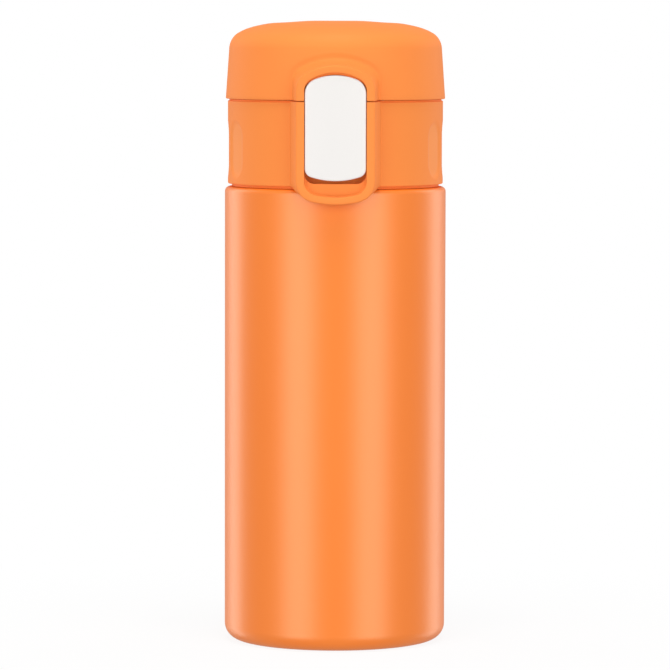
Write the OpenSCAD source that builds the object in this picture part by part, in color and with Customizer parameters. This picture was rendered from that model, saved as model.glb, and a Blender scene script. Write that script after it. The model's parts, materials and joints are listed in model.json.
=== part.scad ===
// One-push vacuum bottle: a double-walled steel bottle with a screw-on lid base,
// a drinking spout and a flip cap that a rocking front button lets go.
// Millimetres. The origin is the middle of the base, +Z is up and the button faces -Y.

/* [Bottle body] */
// Outer radius of the straight body
body_r = 33; // [30:0.5:40]
// Height of the body, up to the flat of its shoulder
body_h = 135.6; // [110:0.2:220]
// Radius of the rounded bottom edge
base_round = 4.8; // [3:0.2:6]
// Radius of the rounded shoulder edge
shoulder_round = 1.5; // [0.8:0.1:2.5]
// Thickness of the outer steel wall
shell_t = 0.5; // [0.4:0.05:0.8]
// Thickness of the inner steel wall
liner_t = 0.5; // [0.4:0.05:0.8]
// Vacuum space between the two side walls
vacuum_gap = 3; // [2:0.1:4]
// Vacuum space under the inner bottle
base_gap = 3.5; // [3:0.1:6]
// Radius of the inner bottle's bottom edge
liner_round = 9; // [5:0.5:12]
// Radius of the inner bottle's shoulder edge
liner_shoulder_round = 3; // [1.5:0.5:5]
// Width of the flat ring that the bottle stands on
foot_w = 1.6; // [1:0.1:3]
// Depth of the recess under the base cover
base_recess = 1.2; // [0.8:0.1:2]
// Thickness of the base cover
base_cover_t = 0.5; // [0.4:0.05:0.8]
// Room between the base cover and the outer bottom
base_cover_gap = 2.6; // [1.5:0.1:4]
// Thickness of the outer bottom
outer_bottom_t = 0.6; // [0.5:0.05:1]

/* [Mouth and thread] */
// Inner radius of the mouth
mouth_r = 23.5; // [21:0.1:23.7]
// Height of the neck above the shoulder
neck_h = 15.4; // [14:0.2:18]
// Vacuum space between the two walls of the neck
neck_gap = 1.7; // [1.2:0.1:1.8]
// Thickness of the rolled lip
lip_t = 0.6; // [0.5:0.1:1]
// Rise of the thread in one turn
thread_lead = 5; // [4.5:0.25:6]
// Turns of the thread ridge on the neck
thread_turns = 1.4; // [1:0.1:1.5]
// Height of the ridge above the neck
thread_h = 0.9; // [0.7:0.05:1]
// Width of a ridge at its root
thread_root_w = 1.9; // [1.4:0.1:2.1]
// Width of a ridge at its crest
thread_crest_w = 0.9; // [0.6:0.1:1.2]
// Room between a ridge's crest and the wall that it runs along
thread_room = 0.45; // [0.4:0.05:0.6]
// Room between the flanks of the two ridges
thread_flank_room = 0.25; // [0.15:0.05:0.4]

/* [Lid base] */
// Gap between the bottle's shoulder and the collar
body_seam = 0.8; // [0.5:0.1:1.5]
// How far the collar's side lies inside the lid's side line
collar_step = 0.9; // [0.5:0.1:1.5]
// Height of the collar
collar_h = 25.1; // [24.5:0.1:26]
// Wall of the collar
collar_t = 1.8; // [1.6:0.1:2]
// Width of a grip dimple
dimple_w = 9.5; // [6:0.5:10]
// Height of a grip dimple
dimple_h = 16.8; // [12:0.2:18]
// Depth of a grip dimple
dimple_depth = 0.6; // [0.3:0.1:0.8]
// Dimples on each side
dimples = 3; // [1:1:3]
// Angle from one dimple to the next
dimple_pitch = 22.5; // [20:0.5:24]
// Height of the dimples' middle above the collar's lower edge
dimple_up = 10.7; // [10:0.1:14]
// Thickness of the ledge that the threaded skirt stands on
ledge_t = 0.8; // [0.6:0.1:1.2]
// Room between the ledge and the thread that passes through it
ledge_room = 0.6; // [0.5:0.1:0.8]
// Wall of the threaded skirt
skirt_t = 2.3; // [1.8:0.1:2.3]
// Room between the threaded skirt and the collar's wall
skirt_gap = 0.45; // [0.3:0.05:1]
// Thickness of the lid base's deck
deck_t = 2; // [1.6:0.1:2.4]
// Room between the mouth's lip and the deck
deck_room = 1; // [0.6:0.1:1.2]
// Depth of the plug below the deck
plug_depth = 11; // [10.5:0.1:12]
// Room between the plug and the mouth's wall
plug_room = 1; // [0.8:0.1:1.4]
// Wall of the plug
plug_t = 3.3; // [3:0.1:3.6]
// Radius of the drinking passage through the deck
passage_r = 11.5; // [9:0.1:12]

/* [Mouth seal] */
// Height of the seal's groove in the plug
groove_h = 3; // [2.6:0.1:3.4]
// Depth of the seal's groove in the plug
groove_depth = 1.5; // [1.2:0.1:1.7]
// Height of the plug's rim under the groove
plug_rim_h = 1; // [0.8:0.1:1.4]
// Room round the seal in its groove
seal_room = 0.08; // [0.05:0.01:0.1]
// Room between the seal's lips and the mouth's wall
lip_room = 0.1; // [0.05:0.01:0.15]

/* [Spout] */
// Height of the spout above the deck
spout_h = 19; // [18:0.1:20]
// Outer radius of the spout at its top
spout_r = 12.6; // [12:0.1:13]
// Outer radius of the spout at its foot
spout_foot_r = 16; // [15:0.1:17]
// Wall of the spout
spout_t = 1.8; // [1.5:0.1:2]
// Radius of the spout's flange
flange_r = 18; // [17.5:0.1:20]
// Thickness of the spout's flange
flange_t = 1.5; // [1.2:0.1:2]
// Thickness of the gasket under the flange
gasket_t = 1; // [0.8:0.1:1.4]
// Height of the straight band at the spout's top
spout_band_h = 3; // [2.6:0.1:5]

/* [Flip cap] */
// Gap between the collar and the cap
cap_seam = 0.5; // [0.4:0.05:0.8]
// Height of the cap
cap_h = 23.2; // [22.8:0.1:26]
// How far the cap's lower edge lies inside the lid's side line
cap_step = 0.25; // [0.1:0.05:0.6]
// How far the cap's side leans in, from its lower edge up to its rounded top
cap_draft = 0.75; // [0:0.05:1]
// Width of the rounded part of the top
cap_round_w = 15; // [12:0.5:18]
// Height of the rounded part of the top
cap_round_h = 8.5; // [7.5:0.1:9]
// Radius where the side turns into the rounded part
cap_corner_r = 5.8; // [5:0.1:6.5]
// Wall of the cap
cap_t = 2; // [1.6:0.1:2.2]
// Wall of the inner cover
cover_t = 1.2; // [1:0.1:1.5]
// Outer radius of the inner cover's skirt, inside the cap's
cover_in = 3.95; // [3.6:0.05:5]
// Thickness of the silicone seal over the spout
cap_seal_t = 2.85; // [2.5:0.05:3.2]
// How far the seal's plug reaches into the spout
cap_plug_h = 2.4; // [1.5:0.1:2.6]
// How far the seal's plug narrows towards its end
cap_plug_taper = 1.2; // [1:0.1:2]
// Room between the seal and the spout
cap_seal_room = 0.15; // [0.1:0.01:0.2]
// Radius of the seal's stem in the inner cover
cap_stem_r = 5; // [3:0.5:8]
// How far the stem's head reaches over its hole
cap_head_over = 1.5; // [1:0.1:2.5]
// Thickness of the stem's head
cap_head_t = 1; // [0.8:0.1:1.5]
// Gap between the collar's top and the inner cover's skirt
cover_lift = 1.7; // [1.2:0.1:2.5]

/* [Hinge] */
// Radius of the hinge knuckles
knuckle_r = 2.8; // [2.5:0.1:3]
// Radius of the hinge pin
hinge_pin_r = 1; // [0.8:0.05:1.1]
// Height of the hinge's axis under the collar's top
hinge_drop = 1.1; // [0.9:0.1:1.4]
// Half the width of the cap's knuckle
knuckle_half = 7; // [6:0.1:8]
// Width of each ear on the collar
ear_w = 4; // [3:0.1:5]
// Half the width of the spring's pocket
spring_half = 3; // [2.6:0.1:3.5]
// Height of the hinge's boss on the collar
hinge_boss_h = 13; // [10:0.5:16]
// Wall of the collar left in front of the cap's knuckle
hinge_backing = 0.8; // [0.6:0.1:1]
// Height of the web that ties the knuckle to the cap's side
hinge_web_h = 7; // [5:0.5:9]
// Radius of the hinge spring's wire
hinge_wire_r = 0.35; // [0.25:0.01:0.4]
// Turns of the hinge spring
hinge_turns = 5; // [3:1:5]
// Length of each leg of the hinge spring
hinge_leg = 1.9; // [1.5:0.1:2]

/* [Button and bezel] */
// Width of the button
button_w = 18.5; // [16:0.1:19]
// Height of the button
button_h = 31.3; // [30.5:0.1:31.5]
// Height of the button's lower edge above the collar's
button_lift = 1.7; // [1.5:0.1:2]
// Thickness of the button
button_t = 2.1; // [1.8:0.1:2.2]
// How deep the button lies behind the bezel's face
button_inset = 0.3; // [0.1:0.05:0.5]
// Gap beside the button
button_gap = 0.15; // [0.1:0.05:0.3]
// Gap above the button
button_top_gap = 0.8; // [0.5:0.1:1.2]
// Width of the bezel's rim
rim_w = 2.25; // [1.5:0.05:2.5]
// How far the bezel's face lies in front of the widest part of the body and the lid
bezel_out = 3.8; // [3.5:0.1:4.2]
// Radius of the bezel's curved face
face_r = 50; // [42:1:70]
// Rise of the bezel's inner arch
arch_rise = 5.5; // [5:0.1:6]
// Corner radius of the bezel's inner arch
arch_corner = 4; // [3:0.1:4.5]
// How far the bezel hangs below the collar
bezel_drop = 4.8; // [4:0.1:6]
// Rise of the bezel's outer foot curve
foot_rise = 6.8; // [6.5:0.1:8]
// Corner radius of the bezel's outer foot
foot_corner = 6; // [5:0.1:6.2]
// Width of the rim under the finger scoop
scoop_rim = 1.8; // [1.4:0.1:2]
// Depth of the finger scoop behind the bezel's face
scoop_depth = 2; // [1.4:0.1:2.2]
// Room between the hanging bezel and the body
bezel_room = 0.85; // [0.6:0.05:1]
// Wall between the button's pocket and the inside of the collar
pocket_wall = 1.3; // [1:0.1:1.4]
// Height of the solid lip between the scoop and the button
scoop_lip = 0.6; // [0.5:0.1:0.8]
// Rise of the curve at the button's lower edge
button_foot_rise = 3.2; // [3:0.1:4]
// Corner radius at the button's upper edge
button_top_corner = 3.6; // [3:0.1:4]
// Corner radius at the button's lower edge
button_foot_corner = 2.4; // [2:0.1:2.6]
// Radius of the button's pin
button_pin_r = 0.8; // [0.6:0.05:0.9]
// Height of the button's pin above the button's lower edge
button_pin_up = 17.9; // [17:0.1:19]
// Radius of the button's lugs
lug_r = 1.75; // [1.6:0.05:1.75]
// How deep each end of the button's pin sits in the collar
pin_seat = 1.6; // [1.2:0.1:1.8]
// Width of each of the button's lugs
lug_w = 3.5; // [2.5:0.1:3.6]
// Height of the button's hook above its pin
hook_up = 9; // [8.5:0.1:9.5]
// Thickness of the button's hook
hook_t = 1.6; // [1.2:0.1:1.8]
// Width of the button's hook
hook_w = 7; // [5:0.1:7.5]
// How far the button's hook lies over the catch
catch_bite = 0.9; // [0.6:0.05:1]
// Room between the hook and the catch's ledge
catch_room = 0.2; // [0.1:0.05:0.3]
// Thickness of the catch plate
catch_t = 0.6; // [0.5:0.05:0.8]
// Thickness of the catch's ledge
catch_ledge_t = 1; // [0.8:0.1:1.2]
// Width of the catch plate
catch_w = 10; // [8.5:0.5:12]
// Height of the catch plate
catch_h = 5.2; // [4.8:0.1:5.6]
// Wall of the cap behind the catch plate
catch_wall = 1; // [0.8:0.1:1.2]
// Radius of the button spring
button_spring_r = 2.4; // [2:0.1:2.8]
// Radius of the button spring's wire
button_wire_r = 0.22; // [0.15:0.01:0.25]
// Turns of the button spring
button_turns = 3; // [2:1:5]
// Height of the button spring above the button's lower edge
button_spring_up = 8; // [6:0.5:10]
// Length of the post that holds the button spring
post_h = 0.9; // [0.6:0.1:1.1]

/* [Vacuum parts] */
// Thickness of the copper foil round the inner bottle
foil_t = 0.1; // [0.08:0.01:0.2]
// Margin of the foil at the ends of the inner bottle's side
foil_margin = 5; // [2:0.5:10]
// Radius of the getter pill
getter_r = 3.5; // [3:0.1:4]
// Thickness of the getter pill
getter_t = 1.6; // [1:0.1:1.8]
// Distance of the getter from the middle
getter_place = 14; // [10:0.5:16]
// Thickness of the getter clip's strap
clip_t = 0.2; // [0.15:0.05:0.3]
// Width of the getter clip's strap
clip_w = 3; // [2:0.5:4]
// Length of the clip past the getter, at each end
clip_end = 1.4; // [1:0.1:2]
// How far the clip's ends reach over the getter
clip_over = 0.8; // [0.5:0.1:1.5]
// Radius of the sealed hole in the outer bottom
seal_hole_r = 1; // [0.8:0.1:1.5]
// Radius of the bead that seals the hole
bead_r = 3; // [2:0.1:4]
// Thickness of the bead under the hole
bead_t = 0.6; // [0.4:0.1:1]

/* [Hidden] */
$fn = 96;
eps = 0.01;
pin_room = 0.05;      // running clearance round a pin
press_room = 0.02;    // clearance of a pin in the holes that hold it
move_room = 0.3;      // clearance between moving faces
lug_room = 0.25;      // clearance behind the button's lugs
hook_back_room = 0.9; // clearance behind the button's hook
coil_room = 0.35;     // clearance of the hinge spring round its pin
spring_room = 0.15;   // clearance at each end of the hinge spring
pin_short = 0.1;      // how far a pin stays inside its holes' ends
foot_room = 0.4;      // height of a thread's foot above the ledge
thread_sink = 0.4;    // how deep the skirt's thread is rooted in its wall
ear_sink = 1.2;       // how deep the hinge's ears are rooted in the collar's wall
ear_lean = 0.6;       // how far the ears' foot lies inside the collar's side
catch_foot = 0.8;     // height of the catch plate above the cap's lower edge
ledge_in = 1;         // how much shorter the catch's ledge is than its plate, at each end
cut = 60;             // longer than any cut needs
corner_steps = 8;     // chords in an arch's corner
crown_steps = 12;     // chords in an arch's crown

// bottle
outer_bottom_z = base_recess + base_cover_t + base_cover_gap;
liner_z = outer_bottom_z + outer_bottom_t + base_gap;
liner_r = body_r - shell_t - vacuum_gap;
foot_in_r = body_r - base_round - foot_w;
shell_lip_h = outer_bottom_z + outer_bottom_t;
foil_z = liner_z + liner_round + foil_margin;
neck_r = mouth_r + liner_t + neck_gap + shell_t;
lip_z = body_h + neck_h;
liner_top = body_h - shell_t - vacuum_gap;

// lid base
skirt_in_r = neck_r + thread_h + thread_room;
collar_in_r = skirt_in_r + skirt_t + skirt_gap;
collar_r = collar_in_r + collar_t;
lid_r = collar_r + collar_step;
collar_z = body_h + body_seam;
collar_top = collar_z + collar_h;
deck_z = lip_z + deck_room;
deck_top = deck_z + deck_t;
plug_r = mouth_r - plug_room;
plug_z = deck_z - plug_depth;
thread_facets = 60;
thread_runout = 25;
thread_z = collar_z + ledge_t + thread_root_w + foot_room;
thread_offset = (thread_root_w + thread_crest_w) / 2 + thread_flank_room;
spout_top = deck_top + spout_h;
flange_z = deck_top + gasket_t;

// flip cap
cap_z = collar_top + cap_seam;
cap_top = cap_z + cap_h;
cap_foot_r = lid_r - cap_step;
cap_side_r = cap_foot_r - cap_draft;
cap_side_top = cap_top - cap_round_h;
cap_seal_z = spout_top + cap_seal_room;
cover_z = cap_seal_z + cap_seal_t;
cover_r = cap_foot_r - cover_in;
cover_top_r = cap_side_r - cap_t - move_room;
spout_bore_r = spout_r - spout_t;

// hinge
hinge_y = collar_in_r + hinge_backing + move_room + knuckle_r;
hinge_z = collar_top - hinge_drop;
ear_in = knuckle_half + move_room;
ear_out = ear_in + ear_w;
hinge_coil_r = hinge_pin_r + hinge_wire_r + coil_room;

// button and bezel
face_y = -(max(body_r, lid_r) + bezel_out);
face_c = face_y + face_r;
pocket_half = button_w / 2 + button_gap;
bezel_half = pocket_half + rim_w;
button_z = collar_z + button_lift;
button_top = button_z + button_h;
arch_z = button_top + button_top_gap - arch_rise;
bezel_z = collar_z - bezel_drop;
foot_z = bezel_z + foot_rise;
scoop_z = bezel_z + scoop_rim;
scoop_top = button_z - scoop_lip;
scoop_y = face_y + scoop_depth;
pocket_y = -(collar_in_r + pocket_wall);
catch_y = pocket_y + catch_t;
button_back_y = face_y + button_inset + button_t;
button_pin_y = pocket_y - lug_r - lug_room;
button_pin_z = button_z + button_pin_up;
hook_z = button_pin_z + hook_up;
catch_top = hook_z - catch_room;
hook_y = catch_y - hook_back_room;
catch_edge_y = hook_y - catch_bite;
button_spring_z = button_z + button_spring_up;

// ---- shared shapes ----

// Half section of a round body from z0 to z1, with rounded lower and upper edges.
module round_section(r, z0, z1, low, high) {
    translate([0, z0 + low]) square([r, z1 - z0 - low - high]);
    translate([0, z0]) square([r - low, low + eps]);
    translate([0, z1 - high - eps]) square([r - high, high + eps]);
    intersection() {
        union() {
            translate([r - low, z0 + low]) circle(r = low);
            translate([r - high, z1 - high]) circle(r = high);
        }
        translate([0, z0]) square([r, z1 - z0]);
    }
}

// Points along a flattened arch that springs from y = z, from its right foot to its left.
// A corner arc at each end meets the crown arc in line.
function arch_points(half, rise, corner, z) =
    let (run = half - corner,
         lift = rise - corner,
         drop = (run * run - lift * lift) / (2 * lift),
         crown = rise + drop,
         meet = atan2(drop, run))
    concat([for (i = [0:corner_steps]) let (a = meet * i / corner_steps)
                [run + corner * cos(a), z + corner * sin(a)]],
           [for (i = [1:crown_steps - 1]) let (a = meet + (180 - 2 * meet) * i / crown_steps)
                [crown * cos(a), z - drop + crown * sin(a)]],
           [for (i = [0:corner_steps]) let (a = 180 - meet + meet * i / corner_steps)
                [-run + corner * cos(a), z + corner * sin(a)]]);

// Outline under a flattened arch that springs from y = 0, and goes down by depth.
module arch_outline(half, rise, corner, depth) {
    polygon(concat(arch_points(half, rise, corner, 0), [[-half, -depth], [half, -depth]]));
}

// Outline with a flattened arch at the top, z1, and the same turned over at the foot, z0.
module slot_outline(half, z0, z1, foot_lift, foot_turn, top_lift, top_turn) {
    foot = arch_points(half, foot_lift, foot_turn, -z0 - foot_lift);
    polygon(concat(arch_points(half, top_lift, top_turn, z1 - top_lift), [for (p = foot) -p]));
}

// Stands an X-Z outline up and extrudes it along Y, from y0 to y1.
module along_y(y0, y1) {
    translate([0, y1, 0]) rotate([90, 0, 0]) linear_extrude(y1 - y0) children();
}

// Extrudes a Y-Z outline along X, from x0 to x1.
module along_x(x0, x1) {
    translate([x0, 0, 0]) rotate([90, 0, 90]) linear_extrude(x1 - x0) children();
}

// Straight rod along X, from x0 to x1.
module rod_x(r, x0, x1, y, z) {
    translate([x0, y, z]) rotate([0, 90, 0]) cylinder(r = r, h = x1 - x0);
}

// Everything behind the bezel's curved face, moved back by inset.
module behind_face(inset, z0, z1) {
    translate([0, face_c, z0]) cylinder(r = face_r - inset, h = z1 - z0, $fn = 240);
}

// Closed tube through rings of equal point counts.
module ring_tube(rings) {
    n = len(rings[0]);
    last = len(rings) - 1;
    points = [for (ring = rings) for (p = ring) p];
    sides = [for (i = [0:last - 1]) for (k = [0:n - 1])
        for (f = [[i * n + k, i * n + (k + 1) % n, (i + 1) * n + k],
                  [i * n + (k + 1) % n, (i + 1) * n + (k + 1) % n, (i + 1) * n + k]]) f];
    ends = [[for (k = [n - 1:-1:0]) k], [for (k = [0:n - 1]) last * n + k]];
    polyhedron(points = points, faces = concat(sides, ends));
}

// Helical ridge round Z that starts at an angle and climbs by the thread's lead.
// The root radius lies inside the wall that carries the ridge.
module thread_ridge(root_r, wall_r, crest_r, z, start, turns) {
    steps = ceil(turns * thread_facets);
    slope = (thread_root_w - thread_crest_w) / (2 * abs(crest_r - wall_r));
    root_half = thread_root_w / 2 + slope * abs(wall_r - root_r);
    rings = [for (i = [0:steps])
        let (turn = turns * i / steps,
             fade = min(1, min(turn, turns - turn) * 360 / thread_runout),
             crest = wall_r + (crest_r - wall_r) * max(fade, 0.1),
             crest_half = root_half - slope * abs(crest - root_r),
             a = start + turn * 360,
             mid = z + thread_lead * turn,
             section = [[root_r, -root_half], [crest, -crest_half], [crest, crest_half], [root_r, root_half]],
             ring = [for (p = section) [p[0] * cos(a), p[0] * sin(a), mid + p[1]]])
        crest_r > root_r ? ring : [for (k = [3:-1:0]) ring[k]]];
    ring_tube(rings);
}

// Round wire along a coil about X with a straight leg down at its start and up at its end.
module torsion_coil(wire_r, coil_r, turns, x0, x1, leg_down, leg_up) {
    steps = 20;
    sides = 8;
    total = turns * steps;
    path = concat([[x0, 180, -leg_down]],
                  [for (i = [0:total]) [x0 + (x1 - x0) * i / total, 180 - 360 * i / steps, 0]],
                  [[x1, 180, leg_up]]);
    rings = [for (p = path) [for (k = [0:sides - 1])
        let (a = -360 * k / sides, rr = coil_r + wire_r * cos(a))
        [p[0] + wire_r * sin(a), rr * cos(p[1]), rr * sin(p[1]) + p[2]]]];
    ring_tube(rings);
}

// Round wire along a helix about Y, from y0 to y1.
module compression_coil(wire_r, coil_r, turns, y0, y1) {
    steps = 20;
    sides = 8;
    total = turns * steps;
    rings = [for (i = [0:total]) let (b = 360 * i / steps, y = y0 + (y1 - y0) * i / total)
        [for (k = [0:sides - 1]) let (a = -360 * k / sides, rr = coil_r + wire_r * cos(a))
            [rr * cos(b), y + wire_r * sin(a), rr * sin(b)]]];
    ring_tube(rings);
}

// ---- bottle ----

module outer_shell() {
    color("darkorange") union() {
        rotate_extrude() difference() {
            union() {
                round_section(body_r, 0, body_h, base_round, shoulder_round);
                translate([0, body_h - 1]) square([neck_r, neck_h + 1 - lip_t]);
            }
            round_section(body_r - shell_t, shell_t, body_h - shell_t,
                          base_round - shell_t, shoulder_round - shell_t);
            translate([0, body_h - 2]) square([neck_r - shell_t, neck_h + 3]);
            translate([0, -1]) square([foot_in_r, shell_lip_h]);
        }
        rotate_extrude() translate([foot_in_r, shell_t / 2]) square([shell_t, shell_lip_h - shell_t / 2]);
        thread_ridge(neck_r - shell_t / 2, neck_r, neck_r + thread_h, thread_z + thread_offset, 0, thread_turns);
    }
}

module liner_section(r, inset) {
    round_section(r - inset, liner_z + inset, liner_top - inset, liner_round - inset, liner_shoulder_round - inset);
}

module inner_liner() {
    color("silver") rotate_extrude() {
        difference() {
            union() {
                liner_section(liner_r, 0);
                translate([0, liner_top - 1]) square([mouth_r + liner_t, lip_z - liner_top + 1]);
            }
            liner_section(liner_r, liner_t);
            translate([0, liner_top - 2]) square([mouth_r, lip_z - liner_top + 3]);
        }
        translate([mouth_r + liner_t - eps, lip_z - lip_t]) square([neck_r - mouth_r - liner_t + eps, lip_t]);
    }
}

module outer_bottom() {
    color("gray") difference() {
        rotate_extrude() {
            translate([0, outer_bottom_z]) square([foot_in_r, outer_bottom_t]);
            translate([foot_in_r - outer_bottom_t, base_recess + base_cover_t])
                square([outer_bottom_t, base_cover_gap + eps]);
        }
        translate([0, 0, outer_bottom_z - 1]) cylinder(r = seal_hole_r, h = outer_bottom_t + 2);
    }
}

module base_cover() {
    color("darkorange") rotate_extrude() {
        translate([0, base_recess]) square([foot_in_r, base_cover_t]);
    }
}

module seal_bead() {
    color("dimgray") {
        translate([0, 0, outer_bottom_z - bead_t]) cylinder(r = bead_r, h = bead_t);
        translate([0, 0, outer_bottom_z - bead_t / 2]) cylinder(r = seal_hole_r, h = outer_bottom_t + bead_t / 2);
    }
}

module copper_foil() {
    foil_top = liner_top - liner_shoulder_round - foil_margin;
    color("peru") rotate_extrude() translate([liner_r, foil_z]) square([foil_t, foil_top - foil_z]);
}

module getter() {
    color("slategray") translate([getter_place, 0, shell_lip_h + clip_t]) cylinder(r = getter_r, h = getter_t);
}

module getter_clip() {
    reach = getter_r + clip_end;
    gap = getter_r - clip_over;
    color("silver") translate([getter_place, 0, shell_lip_h]) difference() {
        translate([-reach, -clip_w / 2, 0]) cube([2 * reach, clip_w, getter_t + 2 * clip_t]);
        translate([0, 0, clip_t]) cylinder(r = getter_r, h = getter_t);
        translate([-gap, -clip_w, clip_t]) cube([2 * gap, 2 * clip_w, getter_t + 1]);
    }
}

// ---- lid base ----

module bezel_outline(grow) {
    translate([0, arch_z]) arch_outline(pocket_half + grow, arch_rise + grow, arch_corner + grow, arch_z - foot_z);
}

module bezel_foot_outline() {
    translate([0, foot_z]) rotate(180) arch_outline(bezel_half, foot_rise, foot_corner, arch_z - foot_z);
}

module scoop_outline(top) {
    intersection() {
        translate([0, foot_z]) rotate(180) arch_outline(pocket_half, foot_z - scoop_z, arch_corner, cut);
        translate([-cut, 0]) square([2 * cut, top]);
    }
}

module dimple() {
    run = dimple_h - dimple_w;
    along_y(-cut, 0) {
        for (end = [-1, 1]) translate([0, end * run / 2]) circle(r = dimple_w / 2);
        translate([-dimple_w / 2, -run / 2]) square([dimple_w, run]);
    }
}

module collar_ear_outline() {
    translate([hinge_y, hinge_z]) circle(r = knuckle_r);
    polygon([[collar_in_r - ear_sink, hinge_z], [hinge_y, hinge_z + knuckle_r - eps],
             [hinge_y + knuckle_r - eps, hinge_z], [collar_r - ear_lean, hinge_z - hinge_boss_h],
             [collar_in_r - ear_sink, hinge_z - hinge_boss_h]]);
}

module collar() {
    color("darkorange") difference() {
        union() {
            translate([0, 0, collar_z]) cylinder(r = collar_r, h = collar_h);
            intersection() {
                along_y(face_y - 1, 0) bezel_foot_outline();
                behind_face(0, bezel_z - 1, collar_top);
            }
            along_x(-ear_out, ear_out) collar_ear_outline();
        }
        translate([0, 0, collar_z + ledge_t]) cylinder(r = collar_in_r, h = collar_h);
        translate([0, 0, collar_z - 1]) cylinder(r = skirt_in_r + ledge_room, h = ledge_t + 2);
        translate([0, 0, bezel_z - 1]) cylinder(r = body_r + bezel_room, h = bezel_drop + 1);
        along_y(face_y - 1, scoop_y) scoop_outline(scoop_top + 1);
        along_y(face_y - 1, pocket_y) translate([-pocket_half, scoop_top]) square([2 * pocket_half, cut]);
        rod_x(button_pin_r + press_room, -pocket_half - pin_seat, pocket_half + pin_seat, button_pin_y, button_pin_z);
        rod_x(knuckle_r + move_room, -ear_in, ear_in, hinge_y, hinge_z);
        translate([-ear_in, hinge_y - knuckle_r - move_room, hinge_z]) cube([2 * ear_in, cut, cut]);
        rod_x(hinge_pin_r + press_room, -cut, cut, hinge_y, hinge_z);
        for (side = [-1, 1], i = [0:dimples - 1])
            rotate([0, 0, side * (90 + (i - (dimples - 1) / 2) * dimple_pitch)])
                translate([0, -(collar_r - dimple_depth), collar_z + dimple_up]) dimple();
    }
}

module stopper() {
    color("whitesmoke") union() {
        rotate_extrude() {
            translate([passage_r, deck_z]) square([collar_in_r - press_room - passage_r, deck_t]);
            translate([skirt_in_r, collar_z + ledge_t]) square([skirt_t, deck_z - collar_z - ledge_t + eps]);
            difference() {
                translate([plug_r - plug_t, plug_z]) square([plug_t, plug_depth + eps]);
                translate([plug_r - groove_depth, plug_z + plug_rim_h]) square([groove_depth + 1, groove_h]);
            }
        }
        thread_ridge(skirt_in_r + thread_sink, skirt_in_r, neck_r + thread_room, thread_z, 0, thread_turns - 0.2);
    }
}

module mouth_seal() {
    z0 = plug_z + plug_rim_h + seal_room;
    h = groove_h - 2 * seal_room;
    in_r = plug_r - groove_depth + seal_room;
    out_r = mouth_r - lip_room;
    color("lightgray") rotate_extrude() polygon([
        [in_r, z0], [plug_r - 0.3, z0], [plug_r - 0.1, z0 + h * 0.12], [out_r, z0 + h * 0.22], [out_r, z0 + h * 0.32],
        [plug_r - 0.2, z0 + h * 0.5], [out_r, z0 + h * 0.68], [out_r, z0 + h * 0.78], [plug_r - 0.1, z0 + h * 0.88],
        [plug_r - 0.3, z0 + h], [in_r, z0 + h]]);
}

module spout() {
    band_z = spout_top - spout_band_h;
    color("whitesmoke") rotate_extrude() {
        difference() {
            union() {
                polygon([[0, flange_z], [spout_foot_r, flange_z], [spout_r, band_z], [0, band_z]]);
                round_section(spout_r, band_z - 1, spout_top, 0.2, spout_t / 2 - 0.1);
            }
            polygon([[0, flange_z - 1], [spout_foot_r - spout_t, flange_z - 1], [spout_foot_r - spout_t, flange_z],
                     [spout_bore_r, band_z], [spout_bore_r, spout_top + 1], [0, spout_top + 1]]);
        }
        translate([spout_foot_r - spout_t, flange_z]) square([flange_r - spout_foot_r + spout_t, flange_t]);
    }
}

module spout_gasket() {
    color("lightgray") rotate_extrude()
        translate([passage_r + 1, deck_top]) square([flange_r - passage_r - 2, gasket_t]);
}

// ---- flip cap ----

// Half section of the cap's outside, drawn in by inset.
module cap_section(inset) {
    flat_r = cap_side_r - cap_round_w;
    intersection() {
        union() {
            translate([0, cap_side_top - eps]) square([flat_r, cap_round_h - inset + eps]);
            translate([flat_r, cap_side_top]) intersection() {
                arch_outline(cap_round_w - inset, cap_round_h - inset, cap_corner_r - inset, 1);
                translate([-eps, 0]) square([cap_round_w, cap_round_h]);
            }
            polygon([[0, cap_z - 1], [cap_foot_r + cap_draft / cap_h - inset, cap_z - 1], [cap_foot_r - inset, cap_z],
                     [cap_side_r - inset, cap_side_top], [0, cap_side_top]]);
        }
        translate([0, inset > 0 ? cap_z - 1 : cap_z]) square([lid_r, cap_h + 2]);
    }
}

// The catch plate's body, from y0 back to its seat.
module catch_outline(y0) {
    along_y(y0, catch_y + catch_t) translate([-catch_w / 2, cap_z + catch_foot]) square([catch_w, catch_h]);
}

module cap_shell() {
    wall_y = catch_y + catch_t + catch_wall;
    color("darkorange") difference() {
        union() {
            difference() {
                rotate_extrude() cap_section(0);
                rotate_extrude() cap_section(cap_t);
            }
            intersection() {
                along_y(face_y - 1, wall_y) bezel_outline(rim_w);
                translate([0, 0, cap_z]) cylinder(r = cut, h = cap_h);
                behind_face(0, cap_z, cap_top);
            }
            along_x(-knuckle_half, knuckle_half) {
                translate([hinge_y, hinge_z]) circle(r = knuckle_r);
                polygon([[hinge_y - knuckle_r + eps, hinge_z], [hinge_y - knuckle_r + eps, cap_z + 0.1],
                         [cap_foot_r - cap_t, cap_z + 0.1], [cap_foot_r - cap_t, cap_z + hinge_web_h],
                         [cap_side_r - 0.1, cap_z + hinge_web_h], [hinge_y + knuckle_r - eps, hinge_z]]);
            }
        }
        along_y(face_y - 1, catch_y) bezel_outline(0);
        catch_outline(face_y - 1);
        for (x0 = [-ear_out - move_room, knuckle_half])
            rod_x(knuckle_r + move_room, x0, x0 + ear_w + 2 * move_room, hinge_y, hinge_z);
        rod_x(knuckle_r + move_room, -spring_half, spring_half, hinge_y, hinge_z);
        rod_x(hinge_pin_r + pin_room, -cut, cut, hinge_y, hinge_z);
    }
}

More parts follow.
